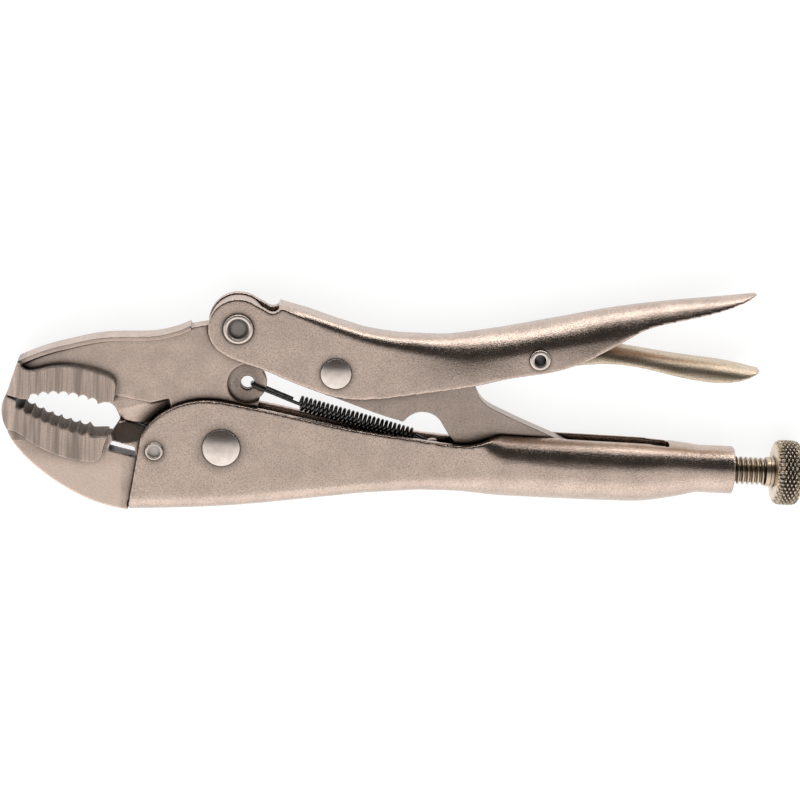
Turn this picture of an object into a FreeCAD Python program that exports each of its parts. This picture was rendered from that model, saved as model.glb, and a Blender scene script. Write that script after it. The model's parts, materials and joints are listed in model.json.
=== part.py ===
import FreeCAD, Part
import math
import os
import Sketcher
from FreeCAD import Placement, Rotation, Vector

# Locking pliers with curved jaws and a wire cutter, lying flat on their side.
# Millimetres. X runs along the adjusting screw towards its knob, Y from the fixed handle to the
# movable handle, Z along the rivets. Every outline is drawn about the jaw pivot, halfway through
# the thickness; the whole tool is then lifted so that it stands on Z = 0 around the origin.

SIZES = [
    # forged plates and their pivots
    ("web", 6.2, "thickness of the jaw webs and of the toggle link"),
    ("side_gap", 0.3, "gap on each side of a plate inside a channel"),
    ("sheet", 2.4, "steel sheet of both handles"),
    ("block", 11.8, "width of the toothed blocks"),
    ("rim", 8.0, "width of the rim along the top of the movable jaw"),
    ("rim_height", 1.3, "height of that rim"),
    ("handle_pivot_x", 3.2, "handle pivot from the jaw pivot"),
    ("handle_pivot_y", 34.1, "handle pivot from the jaw pivot"),
    ("link_pivot_x", 30.8, "link pivot from the jaw pivot"),
    ("link_pivot_y", 22.8, "link pivot from the jaw pivot"),
    ("lever_pivot_x", 86.9, "release lever pivot from the jaw pivot"),
    ("lever_pivot_y", 30.2, "release lever pivot from the jaw pivot"),
    ("jaw_rivet_x", -18.6, "fixed jaw rivet from the jaw pivot"),
    ("jaw_rivet_y", -1.9, "fixed jaw rivet from the jaw pivot"),
    ("pin_play", 0.06, "radial play of a turning piece on its rivet"),
    # rivets
    ("jaw_shank", 6.5, "diameter of the jaw pivot rivet"),
    ("jaw_head", 10.4, "head of the jaw pivot rivet"),
    ("handle_shank", 6.0, "diameter of the handle pivot rivet"),
    ("handle_head", 8.6, "head of the handle pivot rivet"),
    ("link_shank", 5.0, "diameter of the link rivet"),
    ("link_head", 8.5, "head of the link rivet"),
    ("lever_shank", 4.4, "diameter of the lever rivet"),
    ("lever_head", 5.8, "rolled rim of the lever rivet"),
    ("lever_bore", 3.2, "bore of the tubular lever rivet"),
    ("tail_shank", 3.6, "diameter of the fixed jaw rivet"),
    ("tail_head", 5.4, "head of the fixed jaw rivet"),
    # teeth
    ("tooth_pitch", 2.8, "pitch of the jaw teeth"),
    ("tooth_depth", 1.3, "depth of the jaw teeth"),
    # movable jaw hubs
    ("jaw_hub", 9.0, "radius of the movable jaw around the jaw pivot"),
    ("handle_hub", 7.9, "radius of the movable jaw around the handle pivot"),
    ("ear", 8.4, "radius of the movable handle around the handle pivot"),
    ("link_boss", 7.3, "radius of the toggle link around its rivet"),
    ("tab", 3.0, "thickness of the spring tab"),
    ("tab_radius", 5.4, "radius of the spring tab"),
    ("tab_hole", 3.8, "diameter of the spring hole"),
    # grips
    ("grip", 19.0, "width of the fixed grip"),
    ("handle_grip", 18.2, "width of the movable handle's grip"),
    ("lever_width", "=handle_grip - 2 * sheet - 0.8", "width of the release lever at its rivet"),
    ("lever_sheet", 1.5, "steel sheet of the release lever"),
    # adjusting screw
    ("screw_axis_y", -0.8, "screw axis from the jaw pivot"),
    ("tube", 13.5, "diameter of the tube around the screw"),
    ("tube_end", 144.4, "end of the tube from the jaw pivot"),
    ("thread", 7.94, "outer diameter of the thread"),
    ("thread_pitch", 1.411, "pitch of the thread"),
    ("thread_play", 0.15, "radial play of the thread in the tube"),
    ("screw_start", "=tube_end - 35", "tip of the screw from the jaw pivot"),
    ("screw_gap", 2.6, "gap between the toggle link's end and the tip of the screw"),
    ("thread_out", 9.2, "thread showing between the tube and the collar"),
    ("collar", 8.4, "diameter of the collar below the knob"),
    ("collar_length", 2.4, "length of the collar"),
    ("knob", 18.4, "diameter of the knob"),
    ("knob_length", 7.3, "length of the knob"),
    ("neck", 5.0, "diameter of the screw inside the collar and the knob"),
    # return spring
    ("spring_wire", 1.0, "wire of the return spring"),
    ("spring_outer", 4.4, "outer diameter of the return spring"),
]

doc = FreeCAD.newDocument("locking_pliers")
sheet = doc.addObject("Spreadsheet::Sheet", "Sizes")
for row, (alias, value, meaning) in enumerate(SIZES, start=1):
    sheet.set("A%d" % row, meaning)
    sheet.set("B%d" % row, str(value))
    sheet.setAlias("B%d" % row, alias)
doc.recompute()


def size(alias):
    """The number that a cell of the sheet holds."""
    return float(sheet.get(alias))


# ---------------------------------------------------------------- drawing helpers

def new_body(label):
    body = doc.addObject("PartDesign::Body", label)
    body.Label = label
    return body


def new_sketch(body, role, offset=0.0, aside=0.0, turn=0.0):
    """A sketch on one of the body's own origin planes.

    It is moved along the plane's normal by offset and along its first axis by aside, then turned
    about its second axis by so many degrees.
    """
    sketch = body.newObject("Sketcher::SketchObject", body.Name + "_sketch")
    plane = next(f for f in body.Origin.OriginFeatures if f.Role == role)
    sketch.AttachmentSupport = [(plane, "")]
    sketch.MapMode = "FlatFace"
    sketch.AttachmentOffset = Placement(Vector(aside, 0, offset), Rotation(Vector(0, 1, 0), turn))
    return sketch


class Outline:
    """A closed outline of straight lines, arcs and smooth curves in one sketch."""

    def __init__(self, sketch, x, y):
        self.sketch = sketch
        self.start = Vector(x, y, 0)
        self.here = self.start

    def line(self, *points):
        for x, y in points:
            there = Vector(x, y, 0)
            self.sketch.addGeometry(Part.LineSegment(self.here, there))
            self.here = there
        return self

    def arc(self, middle, end):
        there = Vector(end[0], end[1], 0)
        self.sketch.addGeometry(Part.Arc(self.here, Vector(middle[0], middle[1], 0), there))
        self.here = there
        return self

    def curve(self, *points):
        spline = Part.BSplineCurve()
        spline.interpolate([self.here] + [Vector(x, y, 0) for x, y in points])
        self.sketch.addGeometry(spline)
        self.here = Vector(points[-1][0], points[-1][1], 0)
        return self

    def close(self):
        if self.here.distanceToPoint(self.start) > 1e-6:
            self.sketch.addGeometry(Part.LineSegment(self.here, self.start))
        return self.sketch


def circle_sketch(body, role, x, y, diameter, offset=0.0):
    """A sketched circle whose diameter is an expression of the sheet's cells."""
    sketch = new_sketch(body, role, offset)
    index = sketch.addGeometry(Part.Circle(Vector(x, y, 0), Vector(0, 0, 1), 1.0))
    sketch.addConstraint(Sketcher.Constraint("Diameter", index, 2.0))
    sketch.addConstraint(Sketcher.Constraint("DistanceX", index, 3, x))
    sketch.addConstraint(Sketcher.Constraint("DistanceY", index, 3, y))
    sketch.setExpression("Constraints[0]", diameter)
    return sketch


def pad(body, sketch, width):
    """Material on both sides of the sketch; width is an expression of the sheet's cells."""
    feature = body.newObject("PartDesign::Pad", body.Name + "_pad")
    feature.Profile = sketch
    feature.SideType = "Symmetric"
    feature.setExpression("Length", width)
    return feature


def pocket(body, sketch, width):
    """A cut on both sides of the sketch."""
    feature = body.newObject("PartDesign::Pocket", body.Name + "_pocket")
    feature.Profile = sketch
    feature.SideType = "Symmetric"
    feature.Type = "Length"
    feature.setExpression("Length", width)
    return feature


def hole(body, place, diameter):
    """A round hole right through, along Z."""
    return pocket(body, circle_sketch(body, "XY_Plane", *place, diameter), "Sizes.grip * 2")


def around(x, y, radius, degrees):
    """The point at that angle on a circle."""
    angle = math.radians(degrees)
    return (x + radius * math.cos(angle), y + radius * math.sin(angle))


def section(body, x, half, low, high, round_low, round_high):
    """A rounded rectangle across the X axis: Y from low to high, Z from -half to half."""
    sketch = new_sketch(body, "YZ_Plane", x)
    slant = 1 - math.sqrt(0.5)
    outline = Outline(sketch, low + round_low, -half)
    outline.line((high - round_high, -half))
    outline.arc((high - round_high * slant, -half + round_high * slant), (high, -half + round_high))
    outline.line((high, half - round_high))
    outline.arc((high - round_high * slant, half - round_high * slant), (high - round_high, half))
    outline.line((low + round_low, half))
    outline.arc((low + round_low * slant, half - round_low * slant), (low, half - round_low))
    outline.line((low, -half + round_low))
    outline.arc((low + round_low * slant, -half + round_low * slant), (low + round_low, -half))
    return sketch


def slope(before, here, after, column):
    """Slope of one column at a station, flat where the column turns round, so nothing overshoots."""
    left = (here[column] - before[column]) / (here[0] - before[0])
    right = (after[column] - here[column]) / (after[0] - here[0])
    if left * right <= 0:
        return 0.0
    return 2 * left * right / (left + right)


def blended(rows, spacing=4.0):
    """Rows of numbers along X with smooth rows added between them."""
    ends = [rows[0]] + list(rows) + [rows[-1]]
    slopes = []
    for number, row in enumerate(rows):
        if number in (0, len(rows) - 1):
            other = rows[1] if number == 0 else rows[-2]
            slopes.append([(row[c] - other[c]) / (row[0] - other[0]) for c in range(1, len(row))])
        else:
            slopes.append([slope(ends[number], row, ends[number + 2], c) for c in range(1, len(row))])
    result = [tuple(rows[0])]
    for number in range(len(rows) - 1):
        here, there = rows[number], rows[number + 1]
        length = there[0] - here[0]
        steps = max(1, round(length / spacing))
        for step in range(1, steps + 1):
            t = step / steps
            rise = t * t * (3 - 2 * t)
            out = t * (1 - t) ** 2 * length
            back = t * t * (t - 1) * length
            values = [here[0] + length * t]
            for column in range(1, len(here)):
                values.append(here[column] * (1 - rise) + there[column] * rise
                              + out * slopes[number][column - 1] + back * slopes[number + 1][column - 1])
            result.append(tuple(values))
    return result


def loft(body, kind, rows):
    """A ruled loft through rounded sections; kind is AdditiveLoft or SubtractiveLoft."""
    sketches = [section(body, *row) for row in rows]
    feature = body.newObject("PartDesign::" + kind, body.Name + "_" + kind)
    feature.Profile = sketches[0]
    feature.Sections = sketches[1:]
    feature.Ruled = True
    return feature


def turned(body, profile, role, axis):
    """A solid of revolution; profile lists (along, out) points about the sketch's axis."""
    sketch = new_sketch(body, role)
    outline = Outline(sketch, *profile[0])
    for step in profile[1:]:
        if isinstance(step[0], tuple):
            outline.arc(*step)
        else:
            outline.line(step)
    outline.close()
    feature = body.newObject("PartDesign::Revolution", body.Name + "_turned")
    feature.Profile = sketch
    feature.ReferenceAxis = (sketch, [axis])
    feature.Angle = 360
    return feature


def add_teeth(outline, start, middle, end, into):
    """Scalloped teeth from the outline's end: their tips lie on the arc through three points."""
    points = [Vector(*place, 0) for place in (start, middle, end)]
    tips = Part.Arc(*points)
    centre = Part.Circle(*points).Center
    first, last = tips.FirstParameter, tips.LastParameter
    if tips.value(first).distanceToPoint(points[0]) > 1e-6:
        first, last = last, first
    count = max(2, round(tips.length() / size("tooth_pitch")))
    for tooth in range(count):
        root = tips.value(first + (last - first) * (tooth + 0.5) / count)
        root = root + (root - centre).normalize() * into * size("tooth_depth")
        tip = tips.value(first + (last - first) * (tooth + 1) / count)
        outline.arc((root.x, root.y), (tip.x, tip.y))
    return outline


# ---------------------------------------------------------------- shared places

JAW = (0.0, 0.0)
HANDLE = (size("handle_pivot_x"), size("handle_pivot_y"))
LINK = (size("link_pivot_x"), size("link_pivot_y"))
LEVER = (size("lever_pivot_x"), size("lever_pivot_y"))
TAIL = (size("jaw_rivet_x"), size("jaw_rivet_y"))
SPRING_HOLE = (HANDLE[0] + 3.3, HANDLE[1] - 16.1)
SHEET = size("sheet")
CHANNEL = size("web") / 2 + size("side_gap")
FLAT = CHANNEL + SHEET
CHANNEL_WIDTH = "Sizes.web + 2 * Sizes.side_gap"
BLOCK_WIDTH = "Sizes.block"
WEB_WIDTH = "Sizes.web"
JAW_TOUCH = 0.1
HUB_GAP = 0.35
CUT_START = (-28.4, 5.8)
CUT_END = (-18.2, 2.9)
FAR = 60.0

# bottom of the fixed handle along X, from its front end to the start of the grip
FRONT_END = -25.2
HANDLE_BOTTOM = [(-27.0, -20.1), (-12.0, -19.1), (4.0, -17.6), (22.0, -15.0), (40.0, -12.2), (56.0, -10.5)]
GRIP_START = 66.0


def stretched(x, drawn_end, end):
    """Place x behind the start of the grip, moved in step with an end that was drawn at drawn_end."""
    return GRIP_START + (x - GRIP_START) * (end - GRIP_START) / (drawn_end - GRIP_START)


def along_grip(x):
    """Place x of the fixed grip, which reaches to the end of the tube."""
    return stretched(x, 144.4, size("tube_end"))


TUBE_START = along_grip(134.0)
SLOT_END = along_grip(125.6)

# return spring: both ends of its coils, and the wires across the jaw's tab and behind the handle's lug
SPRING_START = (21.3, 12.6)
SPRING_END = (53.6, 4.7)
SPRING_HOOK = (SPRING_HOLE[0] + 1.25, SPRING_HOLE[1] - 0.45)
SPRING_ANCHOR = (59.8, 2.2)


# ---------------------------------------------------------------- fixed handle

def make_fixed_handle():
    """Folded steel channel that closes into a round grip and a tube for the adjusting screw."""
    body = new_body("fixed_handle")
    open_top = 16.0
    front = [(x, FLAT, low, open_top, 4.8, 2.0) for x, low in HANDLE_BOTTOM]
    loft(body, "AdditiveLoft", blended(front, 8.0))
    half = size("grip") / 2
    axis = size("screw_axis_y")
    tube = size("tube") / 2
    grip = [
        front[-1],
        (67.0, FLAT + 1.2, -10.2, 12.0, 5.6, 4.0),
        (along_grip(79.0), half - 0.2, -10.8, 7.4, 7.8, 7.6),
        (along_grip(98.0), half, -10.9, 7.2, 8.4, 8.2),
        (along_grip(116.0), half - 0.2, -10.7, 7.0, 8.2, 8.0),
        (along_grip(127.0), half - 1.8, -9.2, 6.6, 7.2, 7.2),
        (TUBE_START, tube, axis - tube, axis + tube, tube - 0.05, tube - 0.05),
    ]
    loft(body, "AdditiveLoft", blended(grip))
    tube_length = size("tube_end") - TUBE_START
    pad(body, circle_sketch(body, "YZ_Plane", axis, 0, "Sizes.tube", TUBE_START + tube_length / 2),
        "Sizes.tube_end - %s" % TUBE_START)

    inside = [
        (60.0, CHANNEL, -8.0, 12.0, 1.0, 1.0),
        (68.0, FLAT - SHEET + 1.2, -7.8, 10.0, 2.2, 1.5),
        (along_grip(80.0), half - 0.2 - SHEET, -8.4, 5.0, 5.5, 5.3),
        (along_grip(98.0), half - SHEET, -8.5, 4.8, 6.0, 5.8),
        (along_grip(116.0), half - 0.2 - SHEET, -8.3, 4.6, 5.8, 5.6),
        (along_grip(126.0), half - 1.8 - SHEET, -6.9, 4.3, 4.8, 4.8),
    ]
    loft(body, "SubtractiveLoft", blended(inside))

    channel = new_sketch(body, "XY_Plane")
    floor = [(x, low + SHEET) for x, low in HANDLE_BOTTOM]
    outline = Outline(channel, *floor[0])
    outline.curve(*floor[1:])
    outline.line((64.0, -7.9), (74.0, -2.0), (SLOT_END - 2.0, 0.5))
    outline.arc((SLOT_END - 0.6, 2.0), (SLOT_END, 4.5))
    outline.line((SLOT_END, FAR), (floor[0][0], FAR)).close()
    pocket(body, channel, CHANNEL_WIDTH)

    bore = circle_sketch(body, "YZ_Plane", axis, 0, "Sizes.thread + 2 * Sizes.thread_play",
                         size("tube_end") - 10.0)
    pocket(body, bore, "32")
    seam = new_sketch(body, "XY_Plane")
    seam_depth = axis + tube - 0.7
    Outline(seam, SLOT_END - 1.0, seam_depth).line(
        (size("tube_end") + 1.0, seam_depth), (size("tube_end") + 1.0, FAR), (SLOT_END - 1.0, FAR)).close()
    pocket(body, seam, "0.5")

    side = new_sketch(body, "XY_Plane")
    outline = Outline(side, FRONT_END - 6.0, -FAR)
    outline.line((FRONT_END, -FAR), (FRONT_END, -18.0)).curve((-23.8, -8.0), (-22.6, 1.8))
    outline.curve((-18.1, 7.8), (-12.2, 11.5), (-3.8, 13.2), (2.5, 12.6), (15.6, 10.5), (32.8, 7.4),
                  (50.0, 5.3), (62.0, 4.2), (70.0, 4.4), (75.0, 6.2), (80.0, 7.6), (86.0, 9.5))
    outline.line((86.0, FAR), (FRONT_END - 6.0, FAR)).close()
    pocket(body, side, "Sizes.grip * 2")
    hole(body, JAW, "Sizes.jaw_shank")
    hole(body, TAIL, "Sizes.tail_shank")

    lug = new_sketch(body, "XY_Plane")
    back = SPRING_ANCHOR[0] - size("spring_wire") / 2 - 0.15
    top = SPRING_ANCHOR[1] + size("spring_wire") / 2 + 0.2
    Outline(lug, back - 2.4, -9.0).line(
        (back, -9.0), (back, top), (back + 1.3, top + 0.3), (back + 0.9, top + 1.4),
        (back - 1.8, top + 1.0)).close()
    pad(body, lug, "Sizes.sheet")
    return body


# ---------------------------------------------------------------- jaws

def make_fixed_jaw():
    """Lower jaw: toothed block, belly, cutter bar over a window and a tail inside the channel."""
    body = new_body("fixed_jaw")
    floor = [(x, low + SHEET) for x, low in HANDLE_BOTTOM[:4]]
    hub = size("jaw_hub") + HUB_GAP
    web = new_sketch(body, "XY_Plane")
    outline = Outline(web, -57.5, 7.0)
    outline.line((-59.6, 1.0)).curve((-56.2, -4.1), (-52.4, -7.8), (-46.0, -12.5), (-37.5, -17.0),
                                     (-30.5, -19.2), (FRONT_END - 0.1, -19.9))
    floor_start = floor_height(FRONT_END - 0.1)
    outline.line((FRONT_END - 0.1, floor_start))
    outline.curve((-12.0, floor_height(-12.0)), (10.0, floor_height(10.0)))
    outline.line((10.0, -11.4), around(*JAW, hub, -58))
    outline.arc(around(*JAW, hub, -125), around(*JAW, hub, 172))
    outline.line((-13.4, 4.3), (-17.3, 1.9), CUT_END, CUT_START,
                 (-29.2, 4.5), (-30.7, 1.9), (-36.0, 0.6)).close()
    pad(body, web, WEB_WIDTH)
    sharpen(body, CUT_START, CUT_END, (-3.0, 8.0), size("web"), 5.6, 1)

    block = new_sketch(body, "XY_Plane")
    outline = Outline(block, -60.3, 11.4)
    outline.arc((-61.4, 6.4), (-59.6, 1.6))
    outline.curve((-56.6, 1.4), (-52.5, -1.3), (-47.9, -3.5), (-42.0, -5.3), (-37.0, -5.9))
    outline.arc((-33.9, -5.0), (-32.9, -2.6))
    outline.line((-32.5, -0.8), (-31.6, 1.7), (-36.2, 1.4), (-37.3, 3.0))
    add_teeth(outline, (-37.3, 3.0), (-46.6, 5.4), (-57.1, 10.4), 1.0).close()
    pad(body, block, BLOCK_WIDTH)

    window = new_sketch(body, "XY_Plane")
    Outline(window, -30.7, -0.4).line((-24.2, -1.7), (-23.6, -4.5), (-31.5, -2.8)).close()
    pocket(body, window, BLOCK_WIDTH)
    bevel_nose(body)
    hole(body, TAIL, "Sizes.tail_shank")
    return body


def floor_height(x):
    """Height of the channel's floor at x, between the named stations."""
    for (x0, y0), (x1, y1) in zip(HANDLE_BOTTOM, HANDLE_BOTTOM[1:]):
        if x0 <= x <= x1:
            return y0 + (y1 - y0) * (x - x0) / (x1 - x0) + SHEET + 0.15
    raise ValueError("no floor at %s" % x)


def bevel_nose(body):
    """Cut both front corners of a toothed block, seen from above the teeth."""
    half = size("block") / 2
    for side in (1, -1):
        corner = new_sketch(body, "XZ_Plane")
        Outline(corner, -64.0, side * (half - 3.4)).line((-61.6, side * (half - 3.4)), (-56.6, side * half),
                                                        (-56.0, side * FAR), (-64.0, side * FAR)).close()
        pocket(body, corner, "200")


def sharpen(body, start, end, reach, width, bevel, above):
    """Bevel both sides of the cutting edge through start and end, leaving a narrow land.

    reach gives how far the bevel runs along the edge, from before start to past start; above is 1
    where the solid lies under the edge and -1 where it lies over it.
    """
    land = 0.4
    turn = math.atan2(end[1] - start[1], end[0] - start[0])
    along = (reach[0] + reach[1]) / 2
    middle = (start[0] + along * math.cos(turn), start[1] + along * math.sin(turn))
    for side in (1, -1):
        wedge = new_sketch(body, "YZ_Plane", middle[0], middle[1], -math.degrees(turn))
        Outline(wedge, 0.0, side * land).line(
            (-above * bevel, side * (width / 2)), (-above * bevel, side * width),
            (above * 0.6, side * width), (above * 0.6, side * land)).close()
        before = body.Tip
        cut = pocket(body, wedge, "%s" % (reach[1] - reach[0]))
        doc.recompute()
        if cut.Shape.Volume > before.Shape.Volume - 1.0:
            raise RuntimeError("%s: the cutting edge was not bevelled" % body.Label)


JAW_TOP = [(-57.3, 21.5), (-53.0, 23.6), (-48.0, 25.6), (-42.0, 27.4), (-36.0, 29.0), (-29.0, 29.9),
           (-21.0, 30.4), (-14.3, 32.0), (-10.0, 34.0)]


def make_movable_jaw():
    """Upper jaw: web with a rim, toothed block, cutter, two hubs and the spring tab."""
    body = new_body("movable_jaw")
    hub = size("handle_hub")
    web = new_sketch(body, "XY_Plane")
    outline = Outline(web, *JAW_TOP[0])
    outline.curve(*JAW_TOP[1:-1], around(*HANDLE, hub, 178))
    outline.arc(around(*HANDLE, hub, 90), around(*HANDLE, hub, -22))
    tab = size("tab_radius")
    outline.line(around(*SPRING_HOLE, tab, 40))
    outline.arc(around(*SPRING_HOLE, tab, 0), around(*SPRING_HOLE, tab, -48))
    outline.line(around(*JAW, size("jaw_hub"), 20))
    outline.arc(around(*JAW, size("jaw_hub"), -80), around(*JAW, size("jaw_hub"), 160))
    outline.line((-15.5, 10.4), (-29.4, 12.7), (-36.0, 15.5), (-50.0, 15.5), (-57.5, 14.0)).close()
    pad(body, web, WEB_WIDTH)

    rim = new_sketch(body, "XY_Plane")
    drop = size("rim_height")
    outline = Outline(rim, *JAW_TOP[0]).curve(*JAW_TOP[1:])
    lower = [(x + 0.35 * drop, y - drop) for x, y in JAW_TOP[1:]][::-1]
    outline.line(lower[0]).curve(*lower[1:], (JAW_TOP[0][0] + 0.4, JAW_TOP[0][1] - drop)).close()
    pad(body, rim, "Sizes.rim")

    cutter = new_sketch(body, "XY_Plane")
    cut_start, cut_end = ((x, y + JAW_TOUCH) for x, y in (CUT_START, CUT_END))
    Outline(cutter, -31.0, 14.0).line((-31.5, 10.4)).curve((-29.9, 9.2), (-29.1, 7.6), cut_start).line(
        cut_end, (-12.6, 7.4), (-13.5, 12.5)).close()
    pad(body, cutter, "Sizes.web - 1.6")
    sharpen(body, cut_start, cut_end, (-4.0, 15.5), size("web") - 1.6, 5.8, -1)

    block = new_sketch(body, "XY_Plane")
    outline = Outline(block, -60.2, 11.4 + JAW_TOUCH)
    outline.line((-57.4, 20.9), (-56.3, 20.9))
    outline.curve((-54.1, 19.4), (-49.2, 20.4), (-42.0, 21.0), (-37.1, 20.3), (-32.1, 18.9))
    outline.arc((-30.2, 17.4), (-29.8, 15.6)).line((-30.3, 11.0)).arc((-32.6, 11.4), (-34.8, 10.6))
    add_teeth(outline, (-34.8, 10.6), (-44.5, 12.6), (-53.6, 11.1), 1.0).close()
    pad(body, block, BLOCK_WIDTH)

    for side in (1, -1):
        spotface = circle_sketch(body, "XY_Plane", *SPRING_HOLE, "2 * Sizes.tab_radius + 0.4",
                                 side * (size("tab") / 2 + 5.0))
        pocket(body, spotface, "10")
    bevel_nose(body)
    hole(body, JAW, "Sizes.jaw_shank + 2 * Sizes.pin_play")
    hole(body, HANDLE, "Sizes.handle_shank + 2 * Sizes.pin_play")
    hole(body, SPRING_HOLE, "Sizes.tab_hole")
    return body


# ---------------------------------------------------------------- movable handle

def make_movable_handle():
    """Inverted channel with two ears around the jaw, a rounded back and a tapering tail."""
    body = new_body("movable_handle")
    ears = new_sketch(body, "XY_Plane")
    outline = Outline(ears, *around(*HANDLE, size("ear"), 55))
    outline.arc(around(*HANDLE, size("ear"), 150), around(*HANDLE, size("ear"), 245))
    outline.curve((3.6, 24.8), (11.1, 22.6), (16.5, 20.5), (23.3, 18.1))
    outline.line((26.0, 36.0), (15.0, 40.6), (14.0, 39.6)).arc((12.4, 39.1), (10.4, 39.9)).close()
    pad(body, ears, "2 * Sizes.sheet + " + CHANNEL_WIDTH)

    deep = 8.0
    front = [(14.2, FLAT, deep, 41.2, 1.0, 2.6), (22.0, FLAT, deep, 39.4, 1.0, 2.8),
             (30.0, FLAT, deep, 37.0, 1.0, 3.0), (38.0, FLAT, deep, 34.9, 1.0, 3.4)]
    loft(body, "AdditiveLoft", front)
    half = size("handle_grip") / 2
    back = [
        front[-1],
        (48.0, FLAT + 0.5, deep, 33.8, 1.0, 4.0),
        (58.0, FLAT + 1.7, deep, 33.9, 1.0, 5.2),
        (72.0, half - 0.2, deep, 36.1, 1.0, 7.2),
        (90.0, half, deep, 40.2, 1.0, 7.8),
        (108.0, half - 0.2, deep, 44.5, 1.0, 7.8),
        (124.0, half - 1.4, deep, 47.3, 1.0, 7.0),
        (138.0, half - 3.2, deep, 49.2, 1.0, 5.4),
        (146.8, half - 5.2, deep, 50.6, 1.0, 3.6),
    ]
    loft(body, "AdditiveLoft", blended(back))
    hollow = -4.0
    inside_back = [(x, wide - SHEET, hollow, high - SHEET, 1.0, max(0.8, corner - SHEET))
                   for x, wide, _, high, _, corner in back]
    inside_front = [(16.5, CHANNEL, hollow, 40.6 - SHEET, 1.0, 0.6)]
    inside_front += [(x, CHANNEL, hollow, high - SHEET, 1.0, max(0.6, corner - SHEET))
                     for x, _, _, high, _, corner in front[1:-1]]
    inside_front.append(inside_back[0])
    ear_room = new_sketch(body, "XY_Plane")
    Outline(ear_room, -20.0, 0.0).line((16.6, 0.0), (16.6, 41.0 - SHEET), (14.0, 41.4 - SHEET), (14.0, FAR),
                                       (-20.0, FAR)).close()
    pocket(body, ear_room, CHANNEL_WIDTH)
    loft(body, "SubtractiveLoft", inside_front)
    loft(body, "SubtractiveLoft", blended(inside_back))

    below = new_sketch(body, "XY_Plane")
    outline = Outline(below, *around(*HANDLE, size("ear"), 245))
    outline.curve((3.6, 24.8), (11.1, 22.6), (16.5, 20.5), (23.3, 18.1), (30.0, 16.2), (36.6, 15.5),
                  (45.0, 16.4), (58.0, 19.1), (70.0, 21.9), (80.0, 24.7), (88.0, 26.3), (95.5, 28.5), (103.3, 32.3),
                  (110.0, 36.4), (115.5, 39.6), (122.0, 41.7), (129.0, 43.4), (136.0, 45.4), (142.0, 47.6),
                  (147.0, 50.3))
    outline.line((150.0, 50.3), (150.0, -FAR), (around(*HANDLE, size("ear"), 245)[0], -FAR)).close()
    pocket(body, below, "Sizes.grip * 2")
    hole(body, HANDLE, "Sizes.handle_shank")
    hole(body, LINK, "Sizes.link_shank")
    hole(body, LEVER, "Sizes.lever_shank")
    return body


def make_toggle_link():
    """Flat link between the movable handle and the tip of the adjusting screw."""
    body = new_body("toggle_link")
    boss = size("link_boss")
    tip = (size("screw_start") - size("screw_gap"), size("screw_axis_y"))

    def back(*places):
        """Places behind the grip's start, moved with the tip."""
        return [(stretched(x, 106.8, tip[0]), y) for x, y in places]

    plate = new_sketch(body, "XY_Plane")
    outline = Outline(plate, *around(*LINK, boss, 75))
    outline.arc(around(*LINK, boss, 170), around(*LINK, boss, 262))
    outline.curve((35.0, 13.9), (42.0, 11.6), (49.4, 9.6)).arc((50.3, 9.4), (51.0, 10.0))
    outline.arc((56.0, 12.4), (60.9, 9.9))
    outline.curve((62.8, 7.0), *back((66.5, 2.6), (74.0, -1.2), (88.0, -3.0)))
    outline.line((tip[0] - 3.0, tip[1] - 2.6)).arc((tip[0], tip[1]), (tip[0] - 2.6, tip[1] + 2.6))
    outline.curve(*back((93.2, 6.9), (84.2, 10.4), (77.3, 13.3), (73.0, 15.6), (70.7, 18.7)))
    outline.line(*back((69.2, 21.6)))
    outline.curve(*back((66.5, 23.4)), (60.0, 24.6), (45.0, 27.2)).close()
    pad(body, plate, WEB_WIDTH)
    hole(body, LINK, "Sizes.link_shank + 2 * Sizes.pin_play")
    return body


def make_release_lever():
    """Stamped lever inside the movable handle: a finger in front of its rivet and a paddle behind."""
    body = new_body("release_lever")
    half = size("lever_width") / 2
    thick = size("lever_sheet")
    deep = 16.0
    rows = [
        (72.0, half - 0.4, 27.2, 2.4), (79.0, half, 31.2, 3.0), (87.0, half, 34.0, 3.4),
        (98.0, half, 34.6, 3.6),
        (112.0, half - 0.1, 33.4, 4.2), (126.0, half + 0.1, 31.8, 4.6), (139.0, half, 30.7, 4.6),
        (149.4, half - 1.6, 28.9, 3.4),
    ]
    outer = [(x, wide, deep, high, 1.0, corner) for x, wide, high, corner in rows]
    loft(body, "AdditiveLoft", blended(outer))
    inner = [(x, wide - thick, deep - 6.0, high - thick, 1.0, max(0.8, corner - thick))
             for x, wide, high, corner in rows]
    inner[0] = (70.0,) + inner[0][1:]
    inner[-1] = (151.0,) + inner[-1][1:]
    loft(body, "SubtractiveLoft", blended(inner))
    below = new_sketch(body, "XY_Plane")
    outline = Outline(below, 68.0, 24.8)
    outline.curve((73.0, 24.6), (80.0, 25.6), (87.0, 26.8), (98.0, 28.6), (107.0, 29.4), (118.0, 28.3),
                  (128.0, 26.4), (137.0, 25.6), (144.0, 26.3), (149.0, 28.3), (152.0, 31.0))
    outline.line((156.0, 0.0), (68.0, 0.0)).close()
    pocket(body, below, "Sizes.grip * 2")
    hole(body, LEVER, "Sizes.lever_shank + 2 * Sizes.pin_play")
    return body


# ---------------------------------------------------------------- rivets

def domed(outer, height, shank, face):
    """Half outline (out, along) of a rivet with two domed heads on faces at +face and -face."""
    radius = outer / 2
    edge = 0.35
    rise = height - edge
    ball = (radius ** 2 + rise ** 2) / (2 * rise)
    half_angle = math.asin(radius / ball) / 2
    out = ball * math.sin(half_angle)
    drop = ball * (1 - math.cos(half_angle))
    top = face + height
    return [
        (0.0, top),
        ((out, top - drop), (radius, face + edge)),
        (radius, face), (shank / 2, face), (shank / 2, -face), (radius, -face), (radius, -face - edge),
        ((out, drop - top), (0.0, -top)),
    ]


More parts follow.
